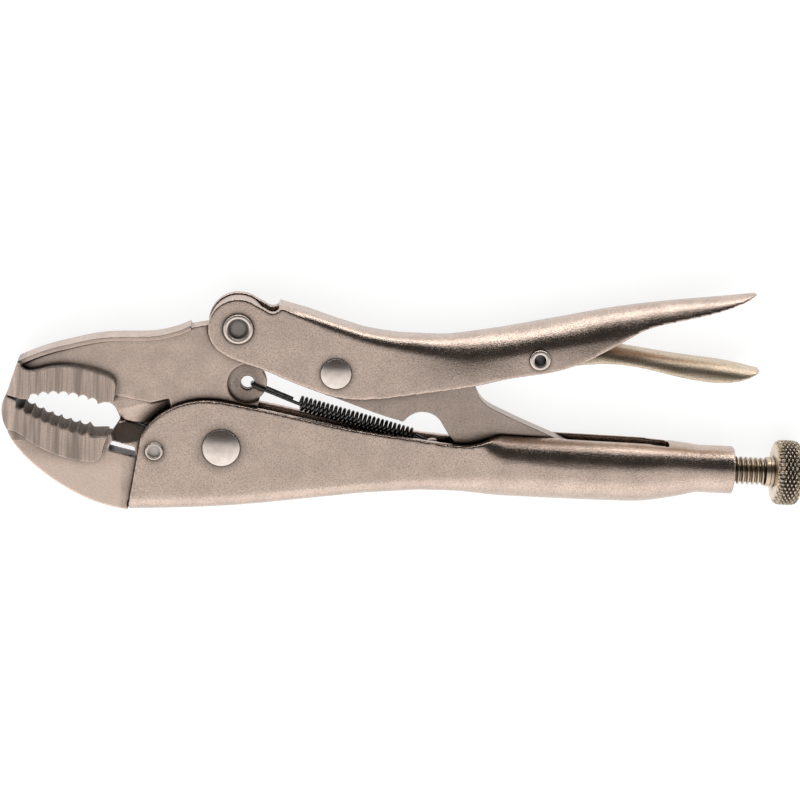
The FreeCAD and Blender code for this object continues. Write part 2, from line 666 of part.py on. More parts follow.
def hollowed(outer, height, shank, face, dish, depth):
    """Half outline of a rivet with a round dish sunk in both heads."""
    radius = outer / 2
    top = face + height
    inner = dish / 2
    outer_lip = radius - 0.2
    lip = (inner + outer_lip) / 2
    roll = min(0.35, height - 0.15)
    return [
        (0.0, top - depth), (inner - 0.5, top - depth), (inner, top - roll),
        ((lip, top), (outer_lip, top - roll)),
        (radius, face), (shank / 2, face), (shank / 2, -face), (radius, -face), (outer_lip, roll - top),
        ((lip, -top), (inner, roll - top)),
        (inner - 0.5, depth - top), (0.0, depth - top),
    ]


def tubular(outer, height, shank, face, bore):
    """Half outline of a tube whose ends are rolled outwards."""
    radius = outer / 2
    top = face + height
    outer_lip = radius - 0.15
    lip = (bore / 2 + outer_lip) / 2
    roll = 0.25
    return [
        (bore / 2, top - roll),
        ((lip, top), (outer_lip, top - roll)),
        (radius, face), (shank / 2, face), (shank / 2, -face), (radius, -face), (outer_lip, roll - top),
        ((lip, -top), (bore / 2, roll - top)),
    ]


def make_rivets():
    """Five rivets, each drawn about its own axis and then put in its place."""
    rows = [
        ("jaw_pivot_rivet", JAW, domed(size("jaw_head"), 1.7, size("jaw_shank"), FLAT)),
        ("link_rivet", LINK, domed(size("link_head"), 1.5, size("link_shank"), FLAT)),
        ("handle_pivot_rivet", HANDLE,
         hollowed(size("handle_head"), 0.9, size("handle_shank"), FLAT, 5.8, 1.5)),
        ("fixed_jaw_rivet", TAIL, hollowed(size("tail_head"), 0.6, size("tail_shank"), FLAT, 3.4, 0.6)),
        ("lever_rivet", LEVER, tubular(size("lever_head"), 0.4, size("lever_shank"), size("handle_grip") / 2,
                                       size("lever_bore"))),
    ]
    made = []
    for label, place, profile in rows:
        body = new_body(label)
        turned(body, profile, "XZ_Plane", "V_Axis")
        made.append((body, place))
    return made


# ---------------------------------------------------------------- adjusting screw

def make_screw():
    """Threaded rod drawn along X from its tip, with a plain neck for the collar and the knob."""
    body = new_body("adjusting_screw")
    outer = size("thread") / 2
    root = outer - 0.61 * size("thread_pitch")
    neck = size("neck") / 2
    thread_start = 3.0
    thread_end = size("tube_end") + size("thread_out") - size("screw_start")
    turns = int((thread_end - thread_start) / size("thread_pitch"))
    profile = [(0.0, 0.0), (0.0, root - 1.0), (1.0, root), (thread_start, root)]
    for turn in range(turns):
        crest = thread_start + (turn + 0.5) * size("thread_pitch")
        profile.append((crest - 0.1, outer))
        profile.append((crest + 0.1, outer))
        profile.append((crest + size("thread_pitch") / 2, root))
    end = thread_end + size("collar_length") + size("knob_length") - 1.0
    profile += [(thread_end, root), (thread_end, neck), (end, neck), (end, 0.0)]
    turned(body, profile, "XY_Plane", "H_Axis")
    return body


def make_collar():
    body = new_body("screw_collar")
    inner = size("neck") / 2 + size("pin_play")
    outer = size("collar") / 2
    length = size("collar_length")
    turned(body, [(0.0, inner), (0.0, outer - 0.3), (0.3, outer), (length, outer), (length, inner)],
           "XY_Plane", "H_Axis")
    return body


def make_knob():
    """Thick disc with rounded edges and a blind bore for the neck of the screw."""
    body = new_body("adjusting_knob")
    outer = size("knob") / 2
    length = size("knob_length")
    bore = size("neck") / 2
    round_off = 2.2
    inset = round_off * (1 - math.sqrt(0.5))
    turned(body, [(0.0, bore), (0.0, outer - round_off), ((inset, outer - inset), (round_off, outer)),
                  (length - round_off, outer),
                  ((length - inset, outer - inset), (length, outer - round_off)), (length, 0.0),
                  (length - 1.0, 0.0), (length - 1.0, bore)], "XY_Plane", "H_Axis")
    return body


# ---------------------------------------------------------------- return spring

def rounded_path(points, radius):
    """A wire of straight runs through the points, joined by arcs of one radius."""
    edges = []
    here = points[0]
    for before, corner, after in zip(points, points[1:], points[2:]):
        back = (before - corner).normalize()
        ahead = (after - corner).normalize()
        half_turn = (math.pi - back.getAngle(ahead)) / 2
        reach = radius * math.tan(half_turn)
        inward = (back + ahead).normalize()
        middle = corner + inward * (radius / math.cos(half_turn) - radius)
        edges.append(Part.LineSegment(here, corner + back * reach).toShape())
        edges.append(Part.Arc(corner + back * reach, middle, corner + ahead * reach).toShape())
        here = corner + ahead * reach
    edges.append(Part.LineSegment(here, points[-1]).toShape())
    return Part.Wire(edges)


def make_spring():
    """Closed tube over the coils, with a long hook through the jaw's tab and one over the lug."""
    wire = size("spring_wire") / 2
    outer = size("spring_outer") / 2
    start = Vector(*SPRING_START, 0)
    end = Vector(*SPRING_END, 0)
    along = (end - start).normalize()
    shape = Part.makeCylinder(outer, (end - start).Length, start, along)
    shape = shape.cut(Part.makeCylinder(outer - 2 * wire, (end - start).Length, start, along))
    hook_wire = wire - 0.04
    wall = outer - wire
    spread = size("tab") / 2 + wire + 0.15
    for near, far in ((start + along, Vector(*SPRING_HOOK, 0)), (end - along, Vector(*SPRING_ANCHOR, 0))):
        side = Vector(0, 0, 1)
        corners = [near + side * wall, far + side * spread, far - side * spread, near - side * wall]
        path = rounded_path(corners, 0.9)
        run = path.Edges[0].tangentAt(path.Edges[0].FirstParameter)
        ring = Part.Wire(Part.makeCircle(hook_wire, near + side * wall, run))
        shape = shape.fuse(path.makePipeShell([ring], True, True))
    feature = doc.addObject("Part::Feature", "return_spring")
    feature.Label = "return_spring"
    feature.Shape = shape.removeSplitter()
    return feature


# ---------------------------------------------------------------- assembly

def assemble():
    """Build every piece, then lift and centre the tool on the origin."""
    axis = size("screw_axis_y")
    collar_start = size("tube_end") + size("thread_out")
    pieces = [
        (make_fixed_handle(), JAW), (make_fixed_jaw(), JAW), (make_movable_jaw(), JAW),
        (make_movable_handle(), JAW), (make_toggle_link(), JAW), (make_release_lever(), JAW),
        (make_screw(), (size("screw_start"), axis)),
        (make_collar(), (collar_start, axis)),
        (make_knob(), (collar_start + size("collar_length"), axis)),
        (make_spring(), JAW),
    ] + make_rivets()
    doc.recompute()
    for piece, place in pieces:
        piece.Placement = Placement(Vector(*place, 0), Rotation())
    doc.recompute()
    box = FreeCAD.BoundBox()
    for piece, _ in pieces:
        box.add(piece.Shape.optimalBoundingBox(True, False))
    shift = Vector(-box.Center.x, -box.Center.y, -box.ZMin)
    for piece, place in pieces:
        piece.Placement = Placement(Vector(*place, 0) + shift, Rotation())
    doc.recompute()
    print("jaw pivot at (%.4f, %.4f), middle of the thickness at %.4f" % (shift.x, shift.y, shift.z))
    return [piece for piece, _ in pieces]


def check_and_write(pieces):
    for item in doc.Objects:
        if "Invalid" in item.State or "Error" in item.State:
            raise RuntimeError("%s failed: %s" % (item.Label, item.State))
    os.makedirs("parts", exist_ok=True)
    for piece in pieces:
        shape = piece.Shape
        if shape.isNull() or not shape.isValid() or len(shape.Solids) != 1:
            raise RuntimeError("%s: null %s, valid %s, %d solids" % (
                piece.Label, shape.isNull(), shape.isValid(), len(shape.Solids)))
        shape.exportStep("parts/%s.step" % piece.Label)
        print("%-20s %9.1f mm3" % (piece.Label, shape.Volume))


check_and_write(assemble())
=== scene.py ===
import bmesh
import bpy
import json
import math
from mathutils import Matrix, Vector


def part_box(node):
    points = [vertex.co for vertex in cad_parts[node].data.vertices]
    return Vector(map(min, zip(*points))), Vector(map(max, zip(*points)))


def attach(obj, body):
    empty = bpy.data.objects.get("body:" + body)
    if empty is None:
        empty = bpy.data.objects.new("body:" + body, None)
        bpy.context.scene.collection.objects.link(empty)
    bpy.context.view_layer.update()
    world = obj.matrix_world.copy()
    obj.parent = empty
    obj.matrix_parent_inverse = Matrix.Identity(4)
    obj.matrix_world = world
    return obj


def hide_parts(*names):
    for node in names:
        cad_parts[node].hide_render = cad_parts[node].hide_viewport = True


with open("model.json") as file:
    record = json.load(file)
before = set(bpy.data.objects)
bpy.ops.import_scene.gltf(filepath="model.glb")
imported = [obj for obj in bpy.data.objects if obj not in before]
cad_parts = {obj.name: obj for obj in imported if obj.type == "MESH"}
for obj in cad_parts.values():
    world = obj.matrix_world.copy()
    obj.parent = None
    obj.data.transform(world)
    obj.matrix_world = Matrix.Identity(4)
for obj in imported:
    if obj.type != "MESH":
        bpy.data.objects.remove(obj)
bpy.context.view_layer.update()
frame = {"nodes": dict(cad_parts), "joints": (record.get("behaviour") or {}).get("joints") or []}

bl_info = {
    "name": "Locking pliers",
    "version": (1, 0, 0),
    "blender": (4, 5, 0),
    "location": "3D View > Sidebar > Pliers",
    "description": "Builds the finished look of a pair of locking pliers over its engineering frame",
    "category": "Add Mesh",
}

MM = 0.001
PIVOT = Vector(next(j["pos_m"] for j in frame["joints"] if j["name"] == "jaw_pivot"))


def at(x, y, z=0.0):
    """A place given in millimetres from the jaw pivot, halfway through the thickness."""
    return PIVOT + Vector((x, y, z)) * MM


def middle(node):
    """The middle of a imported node's box."""
    low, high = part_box(node)
    return (low + high) / 2


# Places on the tool.
SPRING_HOOK = at(6.5, 18.0)
COIL_START, COIL_END = at(21.3, 12.6), at(53.6, 4.7)
TAB_HOLE, LUG = at(7.75, 17.55), at(59.8, 2.2)
TOOL_MIDDLE = at(49.26, 14.80)

# Meshes taken from the frame: points closer than the first are one, and faces flatter than the second.
SEAM_WELD = 0.003 * MM
FLAT_ANGLE = math.radians(0.6)

# Adjusting screw: facets around it, rows of points in one turn, depth as a share of the pitch, the gap left
# before the collar, the radii of the plain neck and of the collar's bore, and the collar's edge and groove.
THREAD_SIDES = 60
ROWS_PER_TURN = 12
THREAD_DEPTH = 0.55
SHOULDER_GAP = 0.05 * MM
NECK = 2.5 * MM
COLLAR_BORE = NECK + 0.06 * MM
COLLAR_CHAMFER = 0.35 * MM
COLLAR_GROOVE = 0.12 * MM

# Adjusting knob: radius of its bore, rounding of its corners, rows of points over a corner and over the flat
# between them, facets in one diamond, its length along the knob, and how steep the grooves' sides are.
KNOB_BORE = 2.6 * MM
KNOB_CORNER = 1.9 * MM
CORNER_ROWS = 6
FLAT_ROWS = 22
FACETS_PER_DIAMOND = 10
DIAMOND_LENGTH = 1.15 * MM
GROOVE_SLOPE = 1.7

# Return spring: outer radius, half the width of its hooks, pitch over wire thickness, points in one turn.
COIL_RADIUS = 2.2 * MM
HOOK_SPREAD = 2.1 * MM
COIL_SPACING = 1.3
POINTS_PER_COIL = 28

# Lean of the movable handle's flanks, in metres from the jaw pivot: where it sets in and where it ends.
LEAN_STARTS = (38.0 * MM, 70.0 * MM)
LEAN_ENDS = (122.0 * MM, 142.0 * MM)

# Darker rings around rivets (radius in mm), and dished or open rivet ends with painted shade in them (radius
# in mm, darkness).
RIVET_HALOS = {"link_rivet": 6.6, "handle_pivot_rivet": 6.4, "fixed_jaw_rivet": 4.6, "lever_rivet": 4.4}
RIVET_HOLLOWS = {"lever_rivet": (1.75, 1.0), "handle_pivot_rivet": (3.0, 0.72),
                 "fixed_jaw_rivet": (1.8, 0.45)}

# Scales of the two noises that every plated metal shares, per millimetre.
SPECKLE = 2.6
FINE_GRAIN = 7.0

# The room's light by the direction it comes from: a dark band leaning over the tool, a bright window low
# behind it and a brighter wall on the near side.
BAND_LEAN = math.radians(44)
DARK_BAND = (0.66, 0.84)
WINDOW = (0.965, 1.0)
NEAR_WALL = (0.25, 0.9)


# ---------------------------------------------------------------- what a user would change


class PliersSizes(bpy.types.PropertyGroup):
    plate_edge: bpy.props.FloatProperty(
        name="Plate edge", description="Width of the broken edge on forged plates",
        default=0.22 * MM, unit="LENGTH", precision=5)
    lean_depth: bpy.props.FloatProperty(
        name="Lean depth", description="How far below its back the movable handle's flanks lean in",
        default=15.0 * MM, unit="LENGTH", precision=4)
    lean_amount: bpy.props.FloatProperty(
        name="Lean amount", description="Share of the width that the lean takes off at the back", default=0.3)
    jaw_grain: bpy.props.FloatProperty(
        name="Jaw grain", description="Size of the even faces that the jaws are rebuilt from",
        default=0.27 * MM, unit="LENGTH", precision=5)
    block_half: bpy.props.FloatProperty(
        name="Block half", description="Half the thickness of the toothed blocks in millimetres", default=5.7)
    sheet_grain: bpy.props.FloatProperty(
        name="Sheet grain", description="Size of the even faces that folded sheet is rebuilt from",
        default=0.42 * MM, unit="LENGTH", precision=5)
    thread_pitch: bpy.props.FloatProperty(
        name="Thread pitch", description="Advance of the adjusting screw in one turn",
        default=1.411 * MM, unit="LENGTH", precision=5)
    knurl_count: bpy.props.IntProperty(
        name="Knurl count", description="Diamonds around the adjusting knob", default=24, min=8)
    knurl_depth: bpy.props.FloatProperty(
        name="Knurl depth", description="Depth of the knob's diamond knurl",
        default=0.72 * MM, unit="LENGTH", precision=5)
    spring_wire: bpy.props.FloatProperty(
        name="Spring wire", description="Diameter of the return spring's wire",
        default=0.95 * MM, unit="LENGTH", precision=5)


class PliersFinish(bpy.types.PropertyGroup):
    plate: bpy.props.FloatVectorProperty(
        name="Plate", description="Colour of the satin nickel plate on sheet and forgings",
        subtype="COLOR", default=(0.66, 0.529, 0.454))
    bright: bpy.props.FloatVectorProperty(
        name="Bright metal", description="Colour of polished rivet heads and worn edges",
        subtype="COLOR", default=(0.78, 0.69, 0.63))
    warm: bpy.props.FloatVectorProperty(
        name="Warm plate", description="Colour of the plate on the screw, knob and lever",
        subtype="COLOR", default=(0.78, 0.64, 0.49))
    dark: bpy.props.FloatVectorProperty(
        name="Spring wire", description="Colour of the blackened spring wire",
        subtype="COLOR", default=(0.10, 0.10, 0.10))
    floor: bpy.props.FloatVectorProperty(
        name="Floor", description="Colour of the table top", subtype="COLOR", default=(0.90, 0.90, 0.90))


class PliersStage(bpy.types.PropertyGroup):
    lens: bpy.props.FloatProperty(
        name="Lens", description="Focal length of the camera on a 36 mm sensor", default=126.95)
    distance: bpy.props.FloatProperty(
        name="Distance", description="From the camera to the middle of the tool",
        default=0.790, unit="LENGTH")
    tilt: bpy.props.FloatProperty(
        name="Tilt", description="Lean of the camera from straight above",
        default=math.radians(14.0), subtype="ANGLE")
    swing: bpy.props.FloatProperty(
        name="Swing", description="Sideways lean of the camera",
        default=math.radians(-2.0), subtype="ANGLE")
    roll: bpy.props.FloatProperty(
        name="Roll", description="Turn of the tool in the view",
        default=math.radians(3.4), subtype="ANGLE")
    key_power: bpy.props.FloatProperty(
        name="Soft light", description="Strength of the overhead light", default=1.9)
    room_power: bpy.props.FloatProperty(
        name="Room light", description="Strength of the light from all round", default=1.0)


# ---------------------------------------------------------------- shader writing

class Value:
    """One output socket; arithmetic on it adds Math nodes."""

    def __init__(self, tree, socket):
        self.tree = tree
        self.socket = socket

    def math(self, operation, *others, clamp=False):
        node = self.tree.nodes.new("ShaderNodeMath")
        node.operation = operation
        node.use_clamp = clamp
        for entry, value in zip(node.inputs, others):
            feed(self.tree, entry, value)
        return Value(self.tree, node.outputs[0])

    def __add__(self, other):
        return self.math("ADD", self, other)

    def __radd__(self, other):
        return self.math("ADD", other, self)

    def __sub__(self, other):
        return self.math("SUBTRACT", self, other)

    def __rsub__(self, other):
        return self.math("SUBTRACT", other, self)

    def __mul__(self, other):
        return self.math("MULTIPLY", self, other)

    def __rmul__(self, other):
        return self.math("MULTIPLY", other, self)

    def __truediv__(self, other):
        return self.math("DIVIDE", self, other)

    def __pow__(self, other):
        return self.math("POWER", self, other)

    def step(self, low, high):
        """0 below low, 1 above high and a soft rise between them."""
        node = self.tree.nodes.new("ShaderNodeMapRange")
        node.interpolation_type = "SMOOTHSTEP"
        feed(self.tree, node.inputs["Value"], self)
        node.inputs["From Min"].default_value = low
        node.inputs["From Max"].default_value = high
        return Value(self.tree, node.outputs["Result"])


def feed(tree, entry, value):
    """Put a link or a number into a node's input."""
    if isinstance(value, Value):
        tree.links.new(value.socket, entry)
    else:
        entry.default_value = value


class Shader:
    """The nodes of one material or of the room's light."""

    def __init__(self, owner):
        owner.use_nodes = True
        self.tree = owner.node_tree
        self.tree.nodes.clear()

    def node(self, kind, settings=None, output=0, **entries):
        """Add a node: its settings first, then its inputs; spaces in their names are written as _."""
        made = self.tree.nodes.new(kind)
        for name, value in (settings or {}).items():
            setattr(made, name, value)
        for name, value in entries.items():
            feed(self.tree, made.inputs[name.replace("_", " ")], value)
        return Value(self.tree, made.outputs[output]) if made.outputs else None

    def place(self, stretch=(1.0, 1.0, 1.0)):
        """The point on the piece in millimetres, stretched along each axis."""
        point = self.node("ShaderNodeTexCoord", output="Object")
        return self.node("ShaderNodeMapping", Vector=point, Scale=[1000.0 * s for s in stretch])

    def noise(self, where, scale, detail=3.0, rough=0.5):
        return self.node("ShaderNodeTexNoise", Vector=where, Scale=scale, Detail=detail, Roughness=rough)

    def blend(self, factor, first, second):
        """A colour between two colours."""
        made = self.tree.nodes.new("ShaderNodeMix")
        made.data_type = "RGBA"
        feed(self.tree, made.inputs[0], factor)
        feed(self.tree, made.inputs[6], first if isinstance(first, Value) else (*first, 1.0))
        feed(self.tree, made.inputs[7], second if isinstance(second, Value) else (*second, 1.0))
        return Value(self.tree, made.outputs[2])

    def edges(self, radius):
        """1 along the piece's edges and 0 on its flats and in its hollows' middles."""
        soft = self.node("ShaderNodeBevel", {"samples": 4}, Radius=radius)
        true = self.node("ShaderNodeNewGeometry", output="Normal")
        near = self.node("ShaderNodeVectorMath", {"operation": "DOT_PRODUCT"}, output="Value")
        feed(self.tree, near.socket.node.inputs[0], soft)
        feed(self.tree, near.socket.node.inputs[1], true)
        return (1.0 - near).step(0.005, 0.12)

    def axes(self):
        """The point on the piece in millimetres, as three values."""
        split = self.node("ShaderNodeSeparateXYZ", Vector=self.place())
        return tuple(Value(self.tree, socket) for socket in split.socket.node.outputs)

    def spot(self, centre, radius, soft):
        """1 around the line across the tool through centre, and 0 beyond radius millimetres."""
        x, y, _ = self.axes()
        across, along = x - centre.x / MM, y - centre.y / MM
        away = (across * across + along * along) ** 0.5
        return 1.0 - away.step(radius - soft, radius)

    def walls(self):
        """1 on faces that run across the tool and 0 on its flanks."""
        normal = self.node("ShaderNodeNewGeometry", output="Normal")
        split = self.node("ShaderNodeSeparateXYZ", Vector=normal)
        facing = Value(self.tree, split.socket.node.outputs["Z"])
        return 1.0 - facing.math("ABSOLUTE", facing).step(0.3, 0.8)

    def crevice(self, reach):
        """1 deep in corners between pieces, 0 in the open."""
        open_sky = self.node("ShaderNodeAmbientOcclusion", {"samples": 8}, output="AO", Distance=reach)
        return 1.0 - open_sky

    def surface(self, colour, roughness, height, depth, metallic=1.0):
        """Finish with a Principled surface whose bump stands depth metres high."""
        bump = self.node("ShaderNodeBump", Height=height, Distance=depth, Strength=1.0)
        skin = self.node("ShaderNodeBsdfPrincipled", Base_Color=colour, Roughness=roughness,
                         Normal=bump, Metallic=metallic)
        self.node("ShaderNodeOutputMaterial", Surface=skin)


def new_material(name):
    material = bpy.data.materials.new(name)
    return material, Shader(material)


def tone(colour, factor):
    """A colour made darker or lighter by a factor."""
    return tuple(min(1.0, c * factor) for c in colour)


def crevice_shaded(shader, tint, colour, strength=1.0):
    """Darken a metal where it meets its neighbours with painted shade: a fine dark line in a soft brown
    painted shadow.
    """
    wide = shader.crevice(4.5 * MM)
    tint = shader.blend(wide.step(0.05, 0.5) * (0.7 * strength), tint, tone(colour, 0.30))
    tint = shader.blend(wide.step(0.33, 0.58) * strength, tint, tone(colour, 0.04))
    line = shader.crevice(0.9 * MM).step(0.03, 0.27)
    return shader.blend(line * (0.9 * strength), tint, tone(colour, 0.06))


def satin_plate(name, colour, bright, roughness=0.24, grain=1.0):
    """Satin nickel plate: fine speckled grain, cloudy colour and bright worn edges."""
    material, shader = new_material(name)
    where = shader.place()
    speckle = shader.noise(where, SPECKLE, 3.0, 0.7)
    fine = shader.noise(where, FINE_GRAIN, 1.0)
    cloud = shader.noise(where, 0.16, 4.0, 0.55)
    smear = shader.noise(shader.place((0.06, 0.9, 0.9)), 1.0, 3.0)
    worn = shader.edges(0.5 * MM) * (0.55 + 0.45 * cloud.step(0.35, 0.65))
    tint = shader.blend(cloud.step(0.3, 0.7), tone(colour, 0.90), tone(colour, 1.06))
    tint = shader.blend(speckle.step(0.42, 0.70) * 0.7 * grain, tint, tone(colour, 0.45))
    # Darker rings around the rivets.
    halo = shader.spot(middle("jaw_pivot_rivet"), 8.6, 3.8)
    for rivet, reach in RIVET_HALOS.items():
        near = shader.spot(middle(rivet), reach, reach * 0.45)
        halo = halo.math("MAXIMUM", halo, near)
    tint = shader.blend(halo * (0.25 + 0.5 * speckle), tint, tone(colour, 0.25))
    tint = shader.blend(worn * 0.8, tint, bright)
    # Painted shade in crevices and between pieces.
    tint = crevice_shaded(shader, tint, colour)
    rough = roughness + (cloud - 0.5) * 0.14 + (smear - 0.5) * 0.10 + (speckle - 0.5) * 0.22 - worn * 0.12
    height = speckle * 0.7 + fine * 0.3
    shader.surface(tint, rough, height, 0.075 * MM * grain)
    return material


def forged_plate(name, colour, bright, block_half):
    """Plate over a forging: satin web and belly, cutter marks across the thicker toothed blocks, with painted
    shade in wide bands for the light and dark of their milled facets.
    """
    material, shader = new_material(name)
    where = shader.place()
    x, y, z = shader.axes()
    side = z - PIVOT.z / MM
    nose = (at(-54.5, 0).x / MM - x).step(0.0, 0.4) * (y - at(0, -1.5).y / MM).step(0.0, 0.4)
    block = side.math("ABSOLUTE", side).step(block_half - 0.35, block_half)
    block = block.math("MAXIMUM", block, nose)
    belly = (at(0, -3.0).y / MM - y).step(0.0, 6.0) * (at(-27.0, 0).x / MM - x).step(0.0, 1.0)
    lines = shader.noise(shader.place((2.4, 0.05, 0.05)), 1.0, 3.0, 0.6)
    wide = shader.noise(shader.place((0.42, 0.02, 0.02)), 1.0, 2.0, 0.5)
    speckle = shader.noise(where, SPECKLE, 3.0, 0.7)
    cloud = shader.noise(where, 0.18, 4.0)
    worn = shader.edges(0.4 * MM)
    tint = shader.blend(cloud.step(0.3, 0.7), tone(colour, 0.92), tone(colour, 1.10))
    tint = shader.blend(belly * 0.8, tint, tone(colour, 1.22))
    tint = shader.blend(block * 0.25, tint, tone(colour, 0.72))
    # Painted shade in wide bands for the light and dark of the blocks' milled facets; the finer lines below
    # are real cutter marks.
    tint = shader.blend(block * wide.step(0.45, 0.62) * 0.75, tint, tone(colour, 0.40))
    tint = shader.blend(block * lines.step(0.45, 0.62) * 0.5, tint, tone(colour, 0.42))
    tint = shader.blend(speckle.step(0.42, 0.70) * (0.6 - belly * 0.35), tint, tone(colour, 0.5))
    # Painted shade on the walls in the mouth between the teeth: darker, rougher and less metallic.
    mouth = shader.spot(at(-41.0, 9.0), 17.0, 2.0) * shader.walls()
    tint = shader.blend(mouth * (0.45 + 0.55 * speckle.step(0.4, 0.6)), tint, tone(colour, 0.16))
    # Painted shade in the recess of the tab around the spring's hook, and a darker patch around the jaw
    # pivot.
    hook = shader.spot(SPRING_HOOK, 6.3, 3.4)
    tab_shade_and_pivot_patch = hook.math("MAXIMUM", hook, shader.spot(PIVOT, 14.0, 6.0) * 0.35)
    tab_shade_and_pivot_tint = tab_shade_and_pivot_patch * (0.5 + 0.6 * (cloud - 0.4)) + hook * (speckle - 0.5)
    tint = shader.blend(tab_shade_and_pivot_tint, tint, tone(colour, 0.22))
    tint = shader.blend(worn * 0.85, tint, bright)
    # Painted shade in crevices and between pieces.
    tint = crevice_shaded(shader, tint, colour)
    rough = 0.36 + block * (lines - 0.5) * 0.22 + (speckle - 0.5) * 0.16 - worn * 0.10 + mouth * 0.45
    shader.surface(tint, rough, block * lines * 0.8 + speckle * 0.9, 0.07 * MM, metallic=1.0 - mouth * 0.8)
    return material


def polished(name, colour, roughness, hollows=None, crevice_shade=1.0):
    """Tumbled metal: soft mirror with small dents, a faint haze and painted shade in the hollow ends of
    rivets.
    """
    material, shader = new_material(name)
    where = shader.place()
    dents = shader.noise(where, 0.9, 3.0, 0.55)
    fine = shader.noise(where, FINE_GRAIN, 2.0)
    haze = shader.noise(where, 0.5, 3.0)
    tint = shader.blend(haze.step(0.35, 0.7), colour, tone(colour, 0.86))
    tint = shader.blend(fine.step(0.55, 0.75) * 0.25, tint, tone(colour, 0.6))
    # Painted shade in crevices and between pieces.
    tint = crevice_shaded(shader, tint, colour, crevice_shade)
    metallic = 1.0 - haze * 0.02
    rough = roughness + (haze - 0.5) * 0.12 + (fine - 0.5) * 0.10
    for rivet, (radius, darkness) in (hollows or {}).items():
        # Painted shade in the dished and open rivet ends: darker, less metallic and rougher.
        hollow_shade = shader.spot(middle(rivet), radius, 0.5) * darkness
        tint = shader.blend(hollow_shade, tint, tone(colour, 0.05))
        metallic = metallic - hollow_shade
        rough = rough + hollow_shade * 0.4
    shader.surface(tint, rough, dents * 0.75 + fine * 0.25, 0.02 * MM, metallic=metallic)
    return material


def blackened_wire(name, colour):
    """Oiled black spring wire with painted highlights in patches for the glints on its turns."""
    material, shader = new_material(name)
    where = shader.place()
    patchy = shader.noise(where, 1.4, 4.0, 0.6)
    fine = shader.noise(where, 8.0, 2.0)
    # Painted highlights: lighter patches standing for glints on the wire.
    tint = shader.blend(patchy.step(0.45, 0.75) * 0.7, colour, tone(colour, 4.0))
    rough = 0.22 + (patchy - 0.5) * 0.2
    shader.surface(tint, rough, fine, 0.008 * MM)
    return material


def table_top(name, colour):
    """Matt white table top with a barely visible unevenness."""
    material, shader = new_material(name)
    where = shader.place((0.02, 0.02, 0.02))
    cloud = shader.noise(where, 1.0, 3.0)
    tint = shader.blend(cloud, tone(colour, 0.985), tone(colour, 1.01))
    matt = shader.node("ShaderNodeBsdfPrincipled", Base_Color=shader.blend(0.8, tint, (0.0, 0.0, 0.0)),
                       Roughness=0.9, Specular_IOR_Level=0.0, Emission_Color=tint, Emission_Strength=0.96)
    shader.node("ShaderNodeOutputMaterial", Surface=matt)
    return material


# ---------------------------------------------------------------- mesh helpers

def add_piece(name, mesh, body, slot, material, *nodes):
    """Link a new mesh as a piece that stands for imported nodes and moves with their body."""
    piece = bpy.data.objects.new(name, mesh)
    bpy.context.scene.collection.objects.link(piece)
    mesh.materials.clear()
    mesh.materials.append(material)
    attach(piece, body)
    if nodes:
        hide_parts(*nodes)
    return piece


def refined_mesh(node, name):
    """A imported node's mesh with its seams welded and its flat triangles joined into faces."""
    bm = bmesh.new()
    bm.from_mesh(frame["nodes"][node].data)
    bmesh.ops.remove_doubles(bm, verts=bm.verts, dist=SEAM_WELD)
    bmesh.ops.dissolve_limit(bm, angle_limit=FLAT_ANGLE, verts=bm.verts, edges=bm.edges)
    for face in bm.faces:
        face.smooth = True
    mesh = bpy.data.meshes.new(name)
    bm.to_mesh(mesh)
    bm.free()
    for layer in ("custom_normal", "sharp_edge", "sharp_face"):
        if layer in mesh.attributes:
            mesh.attributes.remove(mesh.attributes[layer])
    return mesh


def soften_sheet(piece, grain, rounds=5):
    """Rebuild folded sheet as an even skin whose cut edges and folds are rounded."""
    skin = piece.modifiers.new("even_skin", "REMESH")
    skin.mode = "VOXEL"
    skin.voxel_size = grain
    skin.use_smooth_shade = True
    relax = piece.modifiers.new("rounded_folds", "SMOOTH")
    relax.factor = 0.5
    relax.iterations = rounds


def rise(value, low, high):
    """0 below low, 1 above high and a soft rise between them."""
    t = min(1.0, max(0.0, (value - low) / (high - low)))
    return t * t * (3.0 - 2.0 * t)


def lean_in(piece, depth, amount):
    """Lean the flanks of the movable handle's grip in toward its back, less so around the lever's rivet."""
    graph = bpy.context.evaluated_depsgraph_get()
    mesh = bpy.data.meshes.new_from_object(piece.evaluated_get(graph))
    mesh.name = piece.name + "_skin"
    piece.modifiers.clear()
    piece.data = mesh
    # The handle's back and half width in each millimetre along the tool.
    slices = {}
    for vertex in mesh.vertices:
        number = round(vertex.co.x / MM)
        top, half = slices.get(number, (-1.0, 0.0))
        slices[number] = (max(top, vertex.co.y), max(half, abs(vertex.co.z - PIVOT.z)))
    rivet = middle("lever_rivet")
    for vertex in mesh.vertices:
        place = vertex.co - PIVOT
        number = math.floor(vertex.co.x / MM)
        share = vertex.co.x / MM - number
        near = slices.get(number, slices.get(number + 1))
        far = slices.get(number + 1, near)
        top, half = (a * (1 - share) + b * share for a, b in zip(near, far))
        deep = top - vertex.co.y
        if deep >= depth:
            continue
        outer = rise(abs(place.z), half - 2.0 * MM, half - 0.6 * MM)
        outer = max(outer, 1.0 - rise(deep, 6.0 * MM, 8.0 * MM))
        spared = 0.4 + 0.6 * rise(math.dist(vertex.co.xy, rivet.xy), 2.0 * MM, 16.0 * MM)
        along = rise(place.x, *LEAN_STARTS) * (1.0 - rise(place.x, *LEAN_ENDS))
        lean = amount * along * spared * outer * (1.0 - deep / depth) ** 2
        vertex.co.z = PIVOT.z + place.z * (1.0 - lean)


def break_edges(piece, width, segments=2, angle=32.0):
    """Round a piece's sharp edges and keep its flats flat."""
    bevel = piece.modifiers.new("broken_edges", "BEVEL")
    bevel.limit_method = "ANGLE"
    bevel.angle_limit = math.radians(angle)
    bevel.width = width
    bevel.segments = segments
    bevel.use_clamp_overlap = False
    bevel.harden_normals = True
    bevel.miter_outer = "MITER_ARC"


